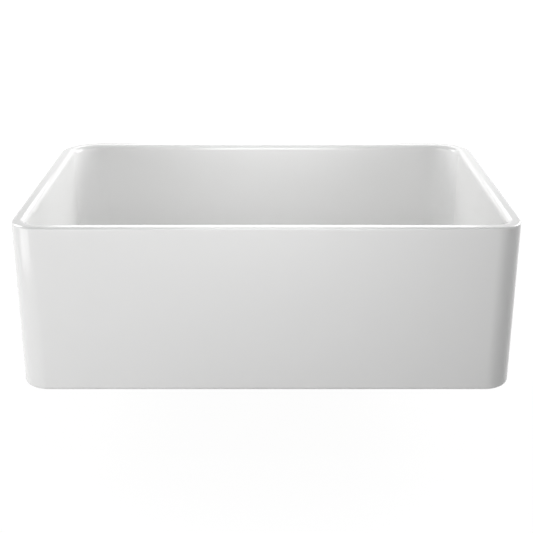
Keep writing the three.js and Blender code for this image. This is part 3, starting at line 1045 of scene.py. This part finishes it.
@dataclass
class Strainer:
    """The strainer body and the rings that clamp it to the basin's floor."""

    shop: Workshop
    axis: Vector
    flange_thickness: float = 1.6 * MM
    flange_lip: float = 3 * MM
    cup_radius: float = 42 * MM
    wall: float = 1.6 * MM
    cup_depth: float = 33 * MM
    shoulder_drop: float = 9 * MM
    seat_radius: float = 30 * MM
    seat_drop: float = 5 * MM
    outlet_radius: float = 23.6 * MM
    outlet_bore: float = 20.5 * MM
    cup_thread: Thread = Thread(depth=0.6 * MM, pitch=2.4 * MM)
    outlet_thread: Thread = Thread(depth=0.8 * MM, pitch=2.2 * MM)
    thread_runout: float = 1 * MM
    body_steps: int = 144
    flange_gasket_edge: float = 0.45 * MM
    rubber_gasket_edge: float = 1.2 * MM
    friction_washer_edge: float = 0.3 * MM
    nut_lugs: Lugs = Lugs(radius=54 * MM, reach=6 * MM, width=15 * MM, count=8)
    nut_slip: float = 0.4 * MM
    nut_rim: float = 4 * MM
    nut_hub: float = 3.5 * MM
    nut_web: float = 2.5 * MM
    nut_edge: float = 0.5 * MM

    def build(self) -> None:
        """Models the body, its two gaskets, its washer and its locknut."""
        self.shop.fit(self._body(), "strainer_body", "sink", Slot.BRUSHED)
        for node, edge, slot in (
            ("flange_gasket", self.flange_gasket_edge, Slot.PLASTIC),
            ("rubber_gasket", self.rubber_gasket_edge, Slot.RUBBER),
            ("friction_washer", self.friction_washer_edge, Slot.FIBRE),
        ):
            self.shop.fit(self._washer(node, edge), node, "sink", slot)
        self.shop.fit(self._locknut(), "locknut", "sink", Slot.ZINC)

    def _body(self) -> bpy.types.Object:
        """The spun body: flange, cup, stopper seat and threaded outlet.

        The last corner of each run only guides the rounding before it, as a thread starts there.
        """
        room = Room.of("strainer_body")
        top, end = room.high, room.low
        flange = top - self.flange_thickness
        shoulder = top - self.cup_depth
        seat_top = shoulder - self.shoulder_drop
        seat_foot = seat_top - self.seat_drop
        outlet_top = seat_foot - self.wall
        cup, bore, lip = self.cup_radius, self.cup_radius - self.wall, self.flange_lip
        inside = [
            Corner(cup, flange, 0.5 * MM),
            Corner(room.radius, flange),
            Corner(room.radius, flange + self.flange_thickness / 3, 0.3 * MM),
            Corner(room.radius - lip, top, 1.5 * MM),
            Corner(bore, top, lip),
            Corner(bore, shoulder, lip),
            Corner(self.seat_radius, seat_top, 1 * MM),
            Corner(self.outlet_bore, seat_foot, 1 * MM),
            Corner(self.outlet_bore, end, 0.4 * MM),
            Corner(self.outlet_radius, end),
        ]
        outside = [
            Corner(self.outlet_radius, outlet_top),
            Corner(self.seat_radius + self.wall, seat_top - self.wall, 1 * MM),
            Corner(cup, shoulder - self.wall / 2, lip),
            Corner(cup, shoulder + lip),
        ]
        runout = self.thread_runout
        outlet = self.outlet_thread.rings(self.outlet_radius, end, outlet_top - runout)
        thread = self.cup_thread.rings(cup, shoulder + lip, flange - runout)
        section = [*rounded(inside)[:-1], *outlet, *rounded(outside)[:-1], *thread]
        return turned("strainer_spinning", section, self.axis, even_angles(self.body_steps))

    def _washer(self, node: str, edge: float) -> bpy.types.Object:
        """A flat ring in the room of its node, with eased edges and the bore of the node."""
        bore = min((v.co.xy - self.axis.xy).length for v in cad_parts[node].data.vertices)
        return flat_ring(f"{node}_ring", Room.of(node), self.axis, bore, [edge] * 4)

    def _locknut(self) -> bpy.types.Object:
        """The lugged nut, with a rib round the foot of its bore."""
        room = Room.of("locknut")
        lugs = self.nut_lugs
        bore = self.cup_radius + self.nut_slip
        web = room.low + self.nut_web
        rim = lugs.outline(self.nut_rim)
        rings = [
            Ring(bore, room.high),
            Ring(lugs.outline(), room.high),
            Ring(lugs.outline(), room.low),
            Ring(rim, room.low),
            Ring(rim, web),
            Ring(bore + self.nut_hub, web),
            Ring(bore + self.nut_hub, room.low),
            Ring(bore, room.low),
        ]
        casting = turned("locknut_casting", rings, self.axis, lugs.angles())
        return eased_edges(casting, self.nut_edge)


@dataclass
class OutletCross:
    """The cross in the outlet, with the socket that guides the stopper's post."""

    shop: Workshop
    axis: Vector
    height: float = 5 * MM
    rim_width: float = 1.7 * MM
    arm_width: float = 3 * MM
    arm_taper: float = 0.64
    socket_radius: float = 6.3 * MM
    socket_wall: float = 2 * MM
    socket_chamfer: float = 1 * MM
    overcut: float = 4 * MM
    edge: float = 0.25 * MM

    def build(self) -> None:
        """Joins the rim, the arms and the socket, and opens the socket's bore."""
        room = Room.of("outlet_cross")
        foot = room.high - self.height
        band = self._band(room.radius - self.rim_width, room.radius, foot, room.high)
        cross = turned("outlet_cross_casting", band, self.axis)
        reach = room.radius - self.rim_width / 2
        for turn in (0, TAU / 4):
            cross = combined(cross, self._arm(turn, reach, foot, room.high), Operation.JOIN)
        hub = self.socket_radius + self.socket_wall
        boss = [
            Ring(0, room.low),
            Ring(hub - self.socket_chamfer, room.low),
            Ring(hub, room.low + self.socket_chamfer),
            Ring(hub, room.high),
            Ring(0, room.high),
        ]
        cross = combined(cross, self._solid("boss", boss), Operation.JOIN)
        low, high = room.low - self.overcut, room.high + self.overcut
        bore = self._band(0, self.socket_radius, low, high)
        cross = combined(cross, self._solid("bore", bore), Operation.CUT)
        self.shop.fit(eased_edges(cross, self.edge), "outlet_cross", "sink", Slot.ZINC)

    def _solid(self, name: str, rings: Sequence[Ring]) -> bpy.types.Object:
        """A turned piece without a bore."""
        return turned(name, rings, self.axis, ends=Ends.POLES)

    @staticmethod
    def _band(inner: float, outer: float, low: float, high: float) -> list[Ring]:
        """An upright band between two radii, from its inner foot to its inner top."""
        return [Ring(inner, low), Ring(outer, low), Ring(outer, high), Ring(inner, high)]

    def _arm(self, turn: float, reach: float, low: float, high: float) -> bpy.types.Object:
        """A bar right across the outlet, wider at its foot than at its top."""
        along = outward(turn)
        across = Vector((-along.y, along.x, 0))
        foot = self.arm_width / 2
        top = foot * self.arm_taper
        section = [(-foot, low), (foot, low), (top, high), (-top, high)]
        rings = [
            [self.axis + along * end + across * side + Vector((0, 0, z)) for side, z in section]
            for end in (-reach, reach)
        ]
        return lofted("arm", rings, Ends.CAPS)


@dataclass
class Coupling:
    """The tailpiece, its sealing washer and the nut that draws them to the outlet."""

    shop: Workshop
    axis: Vector
    tube_radius: float = 19.05 * MM
    tube_wall: float = 1.25 * MM
    flange_thickness: float = 2 * MM
    nut_bore: float = 24 * MM
    nut_wall: float = 4.2 * MM
    nut_edge: float = 0.4 * MM
    wing_reach: float = 3 * MM
    wing_width: float = 9 * MM
    wing_count: int = 6
    collar_height: float = 2.4 * MM
    collar_foot_inset: float = 0.4 * MM
    collar_top_inset: float = 1.6 * MM
    foot_chamfer: float = 1.5 * MM
    lip_top: float = -46.5 * MM
    slip: float = 0.4 * MM

    def build(self) -> None:
        """Models the three pieces."""
        fit = self.shop.fit
        fit(self._washer(), "tailpiece_washer", "sink", Slot.PLASTIC)
        fit(self._tube(), "tailpiece", "sink", Slot.POLISHED)
        fit(self._nut(), "coupling_nut", "sink", Slot.ZINC)

    def _washer(self) -> bpy.types.Object:
        """The soft washer between the outlet and the tailpiece's flange."""
        room = Room.of("tailpiece_washer")
        bore = self.tube_radius - self.tube_wall
        cuts = [0.4 * MM, 0.8 * MM, 0.8 * MM, 0.4 * MM]
        return flat_ring("tailpiece_washer_ring", room, self.axis, bore, cuts)

    def _tube(self) -> bpy.types.Object:
        """The drawn tube, with its flange turned out at the top and its foot cut square."""
        room = Room.of("tailpiece")
        bore = self.tube_radius - self.tube_wall
        under = room.high - self.flange_thickness
        corners = [
            Corner(bore, room.high, 1.2 * MM),
            Corner(bore, room.low, 0.15 * MM),
            Corner(self.tube_radius, room.low, 0.3 * MM),
            Corner(self.tube_radius, under, 0.5 * MM),
            Corner(room.radius, under, 0.4 * MM),
            Corner(room.radius, room.high, 0.4 * MM),
        ]
        return turned("tailpiece_tube", rounded(corners), self.axis)

    def _nut(self) -> bpy.types.Object:
        """The winged nut, stepped inside to hold the flange."""
        room = Room.of("coupling_nut")
        radius = self.nut_bore + self.nut_wall
        wings = Lugs(radius, self.wing_reach, self.wing_width, self.wing_count)
        mouth = self.tube_radius + self.slip
        collar = room.high - self.collar_height
        rings = [
            Ring(self.nut_bore, room.high),
            Ring(radius - self.collar_top_inset, room.high),
            Ring(radius - self.collar_foot_inset, collar),
            Ring(wings.outline(), collar),
            Ring(wings.outline(), room.low + self.foot_chamfer),
            Ring(wings.outline(self.foot_chamfer), room.low),
            Ring(mouth, room.low),
            Ring(mouth, self.lip_top),
            Ring(self.nut_bore, self.lip_top),
        ]
        casting = turned("coupling_nut_casting", rings, self.axis, wings.angles())
        return eased_edges(casting, self.nut_edge)


@dataclass
class Basket:
    """The basket that lifts out, with the post and stopper it hangs on."""

    shop: Workshop
    axis: Vector
    sheet: float = 1 * MM
    foot_radius: float = 30 * MM
    foot_bend: float = 4 * MM
    lip_width: float = 2.6 * MM
    post_radius: float = 4 * MM
    shoulder_radius: float = 6.5 * MM
    shoulder_height: float = 3 * MM
    tip_radius: float = 3.5 * MM
    slip: float = 0.4 * MM
    seat: float = 0.3 * MM
    groove_depth: float = 1 * MM
    hole_radius: float = 2.2 * MM
    hole_rows: tuple[tuple[float, int], ...] = ((12 * MM, 10), (19.5 * MM, 16))
    wall_holes: int = 16
    wall_hole_height: float = 14 * MM
    punch_sides: int = 20
    punch_length: float = 6 * MM
    knob_socket_depth: float = 9 * MM
    knob_wall: float = 2.6 * MM
    knob_waist_top: float = 0.45
    knob_head_foot: float = 0.60
    knob_head_edge: float = 0.90
    knob_crown: float = 0.62
    grip_level: float = 0.70
    grip_pitch: float = 1.8 * MM
    grip_width: float = 1 * MM
    grip_depth: float = 0.45 * MM
    seal_slope: float = 1.9
    seal_edge: float = 1 * MM
    bead_width: float = 2.2 * MM
    bead_foot: float = 0.6 * MM
    bead_height: float = 0.5 * MM
    nut_flats: float = 12 * MM
    nut_chamfer: float = math.radians(30)
    nut_thread_edge: float = 0.4 * MM
    ring_gap: float = math.radians(24)
    ring_steps: int = 48
    wire_sides: int = 16

    def build(self) -> None:
        """Models the cup, the post, the knob and the stopper's pieces."""
        fit = self.shop.fit
        fit(self._cup(), "basket_cup", "basket", Slot.POLISHED)
        fit(self._post(), "basket_post", "stopper", Slot.POLISHED)
        fit(self._knob(), "basket_knob", "stopper", Slot.POLISHED)
        fit(self._seal(), "stopper_seal", "stopper", Slot.RUBBER)
        fit(self._retainer(), "seal_retainer", "stopper", Slot.BRUSHED)
        fit(self._nut(), "stopper_nut", "stopper", Slot.BRUSHED)
        fit(self._snap_ring(), "snap_ring", "stopper", Slot.BRUSHED)

    def _cup(self) -> bpy.types.Object:
        """The pressed cup, with its lip rolled out and its holes punched."""
        room = Room.of("basket_cup")
        sheet, foot = self.sheet, self.foot_radius
        tip = self.tip_radius + self.slip
        wall_top = room.radius - self.lip_width
        corners = [
            Corner(tip, room.low, 0.2 * MM),
            Corner(foot, room.low, self.foot_bend),
            Corner(wall_top, room.high - sheet, 1 * MM),
            Corner(room.radius, room.high - sheet, 0.4 * MM),
            Corner(room.radius, room.high, 0.4 * MM),
            Corner(wall_top - sheet, room.high, 1.2 * MM),
            Corner(foot - sheet, room.low + sheet, self.foot_bend - 0.5 * MM),
            Corner(tip, room.low + sheet, 0.2 * MM),
        ]
        cup = turned("basket_pressing", rounded(corners), self.axis, even_angles(120))
        return combined(cup, self._punches(room, wall_top), Operation.CUT)

    def _punches(self, room: Room, wall_top: float) -> bpy.types.Object:
        """The punches that make the holes, as one object."""
        work = bmesh.new()
        middle = room.low + self.sheet / 2

        def punch(at: Vector, along: Vector) -> None:
            """Adds a round punch through a point, along a direction."""
            turn = Vector((0, 0, 1)).rotation_difference(along).to_matrix().to_4x4()
            made = bmesh.ops.create_cone(
                work,
                cap_ends=True,
                segments=self.punch_sides,
                radius1=self.hole_radius,
                radius2=self.hole_radius,
                depth=self.punch_length,
            )
            bmesh.ops.transform(work, matrix=turn, verts=made["verts"])
            bmesh.ops.translate(work, vec=at, verts=made["verts"])

        for radius, count in self.hole_rows:
            for angle in even_angles(count):
                at = self.axis + outward(angle) * radius + Vector((0, 0, middle))
                punch(at, Vector((0, 0, 1)))
        lean = math.atan2(wall_top - self.foot_radius, room.high - room.low)
        wall_radius = self.foot_radius + math.tan(lean) * self.wall_hole_height
        level = Vector((0, 0, room.low + self.wall_hole_height))
        for angle in even_angles(self.wall_holes):
            out = outward(angle)
            along = out * math.cos(lean) - Vector((0, 0, math.sin(lean)))
            punch(self.axis + out * (wall_radius - self.sheet / 2) + level, along)
        mesh = bpy.data.meshes.new("punches")
        work.to_mesh(mesh)
        work.free()
        return linked("punches", mesh)

    def _post(self) -> bpy.types.Object:
        """The turned post, with its shoulder on the cup and the groove of the snap ring."""
        room = Room.of("basket_post")
        ring = Room.of("snap_ring")
        tip, shoulder_foot = self.tip_radius, Room.of("basket_cup").low + self.sheet + self.seat
        shoulder_top = shoulder_foot + self.shoulder_height
        corners = [
            Corner(0, room.low),
            Corner(tip, room.low, 1 * MM),
            Corner(tip, ring.low - self.seat, 0.15 * MM),
            Corner(tip - self.groove_depth, ring.low - self.seat, 0.3 * MM),
            Corner(tip - self.groove_depth, ring.high + self.seat, 0.3 * MM),
            Corner(tip, ring.high + self.seat, 0.15 * MM),
            Corner(tip, shoulder_foot),
            Corner(self.shoulder_radius, shoulder_foot, 0.3 * MM),
            Corner(self.shoulder_radius, shoulder_top, 0.8 * MM),
            Corner(self.post_radius, shoulder_top, 0.8 * MM),
            Corner(self.post_radius, room.high, 0.5 * MM),
            Corner(0, room.high),
        ]
        return turned("post_turning", rounded(corners), self.axis, even_angles(64), Ends.POLES)

    def _knob(self) -> bpy.types.Object:
        """The waisted knob, with two grip grooves round its head."""
        room = Room.of("basket_knob")
        height = room.high - room.low
        socket = self.post_radius + self.seat
        waist = socket + self.knob_wall
        depth = room.low + self.knob_socket_depth
        grip = room.low + self.grip_level * height
        half = self.grip_width / 2
        corners = [
            Corner(0, depth),
            Corner(socket, depth),
            Corner(socket, room.low, 0.3 * MM),
            Corner(waist, room.low, 0.8 * MM),
            Corner(waist, room.low + self.knob_waist_top * height, 2.4 * MM),
            Corner(room.radius, room.low + self.knob_head_foot * height, 1.0 * MM),
        ]
        for level in (grip, grip + self.grip_pitch):
            corners += [
                Corner(room.radius, level - half, 0.15 * MM),
                Corner(room.radius - self.grip_depth, level, 0.3 * MM),
                Corner(room.radius, level + half, 0.15 * MM),
            ]
        corners += [
            Corner(room.radius, room.low + self.knob_head_edge * height, 1.2 * MM),
            Corner(self.knob_crown * room.radius, room.high, 2.4 * MM),
            Corner(0, room.high),
        ]
        return turned("knob_turning", rounded(corners), self.axis, even_angles(72), Ends.POLES)

    def _seal(self) -> bpy.types.Object:
        """The rubber disc, conical like its seat, with a moulded bead round its top."""
        room = Room.of("stopper_seal")
        tip = self.tip_radius + self.slip
        cone_top = room.high - self.seal_edge
        low_radius = room.radius - self.seal_slope * (cone_top - room.low)
        bead = room.radius - self.bead_width
        face = room.high - self.bead_height
        corners = [
            Corner(tip, room.low, 0.2 * MM),
            Corner(low_radius, room.low, 0.5 * MM),
            Corner(room.radius, cone_top, 0.3 * MM),
            Corner(room.radius, room.high, 0.4 * MM),
            Corner(bead, room.high, 0.3 * MM),
            Corner(bead - self.bead_foot, face, 0.3 * MM),
            Corner(tip, face, 0.2 * MM),
        ]
        return turned("stopper_disc", rounded(corners), self.axis)

    def _retainer(self) -> bpy.types.Object:
        """The washer under the disc, with its upper edge rounded by the press."""
        tip = self.tip_radius + self.slip
        cuts = [0.1 * MM, 0.15 * MM, 0.5 * MM, 0.3 * MM]
        return flat_ring("seal_washer", Room.of("seal_retainer"), self.axis, tip, cuts, steps=72)

    def _nut(self) -> bpy.types.Object:
        """The hexagonal nut, with its corners turned off at both faces."""
        room = Room.of("stopper_nut")
        tip = self.tip_radius + self.slip
        edge = self.nut_thread_edge
        flat = self.nut_flats / 2
        chamfer = math.tan(self.nut_chamfer)

        def outline(angle: float) -> float:
            """The hexagon's radius at an angle."""
            off = (angle % (TAU / 6)) - TAU / 12
            return flat / math.cos(off)

        def over(level: float, sign: int) -> Callable[[float], float]:
            """The height where the cone of a chamfer meets the hexagon."""
            return lambda angle: level + sign * (outline(angle) - flat) * chamfer

        rings = [
            Ring(tip + edge, room.low),
            Ring(flat, room.low),
            Ring(outline, over(room.low, 1)),
            Ring(outline, over(room.high, -1)),
            Ring(flat, room.high),
            Ring(tip + edge, room.high),
            Ring(tip, room.high - edge),
            Ring(tip, room.low + edge),
        ]
        return turned("hexagon_nut", rings, self.axis, even_angles(72))

    def _snap_ring(self) -> bpy.types.Object:
        """The spring ring, open at one side, round in section."""
        room = Room.of("snap_ring")
        inner = self.tip_radius - self.groove_depth + self.seat
        wire = (room.radius - inner) / 2
        half_height = (room.high - room.low) / 2
        centre = self.axis + Vector((0, 0, (room.low + room.high) / 2))
        rings = []
        for angle in even_steps(TAU - self.ring_gap, self.ring_steps, self.ring_gap / 2):
            out = outward(angle)
            ring = []
            for a in even_angles(self.wire_sides):
                reach = inner + wire + wire * math.cos(a)
                ring.append(centre + out * reach + Vector((0, 0, half_height * math.sin(a))))
            rings.append(ring)
        return lofted("snap_ring_wire", rings, Ends.CAPS)


# ------------------------------------------------------------------ studio


@dataclass(frozen=True)
class Softbox:
    """A rectangular soft lamp that faces a point."""

    name: str
    place: Place
    width: float
    height: float
    power: float
    aim: Place = (0, 0, 0.15)

    def hang(self) -> None:
        """Makes the lamp and hangs it in the studio."""
        data = bpy.data.lights.new(self.name, "AREA")
        data.shape = "RECTANGLE"
        data.size = self.width
        data.size_y = self.height
        data.energy = self.power
        lamp = linked(self.name, data)
        lamp.location = self.place
        towards = Vector(self.aim) - Vector(self.place)
        lamp.rotation_euler = towards.to_track_quat("-Z", "Y").to_euler()
        lamp.visible_camera = False


@dataclass
class Studio:
    """A plain white studio: floor, surroundings, lamps and camera."""

    floor_gap: float = 4 * MM
    floor_size: float = 40.0
    floor_colour: Colour = (0.40, 0.40, 0.40)
    floor_shadow: float = 0.12
    floor_white: float = 1.10
    shadow_reach: Span = (0.8, 2.0)
    lamps: tuple[Softbox, ...] = (
        Softbox("lamp_left", (-1.58, 0.57, 1.24), 1.0, 1.0, 24.6),
        Softbox("lamp_left_low", (-0.95, -0.55, 0.15), 0.5, 0.4, 1.9),
        Softbox("lamp_left_front", (-0.75, -1.30, 0.15), 0.8, 0.4, 4.9),
        Softbox("lamp_right", (1.58, 0.57, 1.24), 1.0, 1.0, 21.7),
        Softbox("lamp_right_low", (1.30, 0.75, 0.70), 0.6, 0.4, 6.8),
        Softbox("lamp_right_front", (0.37, -1.02, 0.34), 0.5, 0.4, 1.15),
        Softbox("lamp_front", (0, -1.08, 0.34), 0.5, 0.4, 1.8),
        Softbox("lamp_back", (0, 0.98, 0.84), 1.2, 0.4, 3.65),
        Softbox("lamp_back_low", (0, 1.55, 0.56), 0.8, 0.4, 1.15),
        Softbox("lamp_over_apron", (0, -0.45, 0.65), 0.3, 0.2, 0.9, aim=(0, 0.23, 0.2)),
        Softbox("lamp_over_bowl", (0, -0.05, 0.40), 0.3, 0.15, 0.46, aim=(0, 0.22, 0.18)),
    )
    camera_place: Place = (0, -1.683, 0.752)
    camera_pitch: float = math.radians(20.9)
    focal_pixels: float = 1033
    frame_pixels: float = 533
    film_width: float = 36.0

    def build(self) -> None:
        """Sets up the studio round the sink."""
        self._floor()
        self._surroundings()
        for lamp in self.lamps:
            lamp.hang()
        self._camera()
        bpy.context.scene.view_settings.view_transform = "Standard"
        log.info("studio: %d lamps", len(self.lamps))

    @staticmethod
    def _seen_straight(graph: Graph) -> Signal:
        """1 where the camera, a gloss or glass looks, and 0 where light is gathered."""
        path = graph.node("ShaderNodeLightPath", output="Is Camera Ray")
        seen = path.math("MAXIMUM", path, path.output("Is Glossy Ray"))
        return seen.math("MAXIMUM", seen, path.output("Is Transmission Ray"))

    def _floor(self) -> None:
        """A pale floor just below the drain, which shows white but keeps a soft shadow."""
        half = self.floor_size / 2
        level = Room.of("tailpiece").low - self.floor_gap
        mesh = bpy.data.meshes.new("studio_floor")
        signs = [(-1, -1), (1, -1), (1, 1), (-1, 1)]
        mesh.from_pydata([(x * half, y * half, level) for x, y in signs], [], [(0, 1, 2, 3)])
        floor = linked("studio_floor", mesh)
        paint = Paint("studio_floor")
        glow = {"Color": (1, 1, 1, 1), "Strength": self.floor_white}
        white = paint.node("ShaderNodeEmission", inputs=glow)
        matt = paint.node("ShaderNodeBsdfDiffuse", inputs={"Color": (*self.floor_colour, 1)})
        off = paint.vector("SUBTRACT", paint.place(), (0, 0, level))
        distance = paint.node("ShaderNodeVectorMath", {"operation": "LENGTH"}, {0: off}, "Value")
        shadow = self.floor_shadow * (1 - paint.step(distance, *self.shadow_reach))
        share = self._seen_straight(paint) * (1 - shadow)
        shader = paint.node("ShaderNodeMixShader", inputs={0: share, 1: matt, 2: white})
        paint.node("ShaderNodeOutputMaterial", inputs={"Surface": shader})
        mesh.materials.append(paint.material)

    def _surroundings(self) -> None:
        """White surroundings to look at, which give no light of their own."""
        world = bpy.data.worlds.new("studio")
        world.use_nodes = True
        bpy.context.scene.world = world
        graph = Graph(world.node_tree)
        seen = self._seen_straight(graph)
        white = graph.node("ShaderNodeBackground", inputs={"Color": (1, 1, 1, 1), "Strength": seen})
        graph.node("ShaderNodeOutputWorld", inputs={"Surface": white})

    def _camera(self) -> None:
        """The camera, a little above the rim and straight before the apron."""
        data = bpy.data.cameras.new("camera")
        data.sensor_width = self.film_width
        data.lens = self.film_width * self.focal_pixels / self.frame_pixels
        data.clip_end = 2 * self.floor_size
        camera = linked("camera", data)
        camera.location = self.camera_place
        camera.rotation_euler = (TAU / 4 - self.camera_pitch, 0, 0)
        bpy.context.scene.camera = camera


# ------------------------------------------------------------------ the whole sink


def main() -> None:
    """Builds the sink's pieces and the studio, in order."""
    logging.basicConfig(level=logging.INFO, format="%(name)s: %(message)s")
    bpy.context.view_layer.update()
    axis = drain_axis()
    shop = Workshop(Finishes(axis))
    Basin(shop).build()
    Strainer(shop, axis).build()
    OutletCross(shop, axis).build()
    Coupling(shop, axis).build()
    Basket(shop, axis).build()
    Studio().build()


if __name__ == "__main__":
    main()
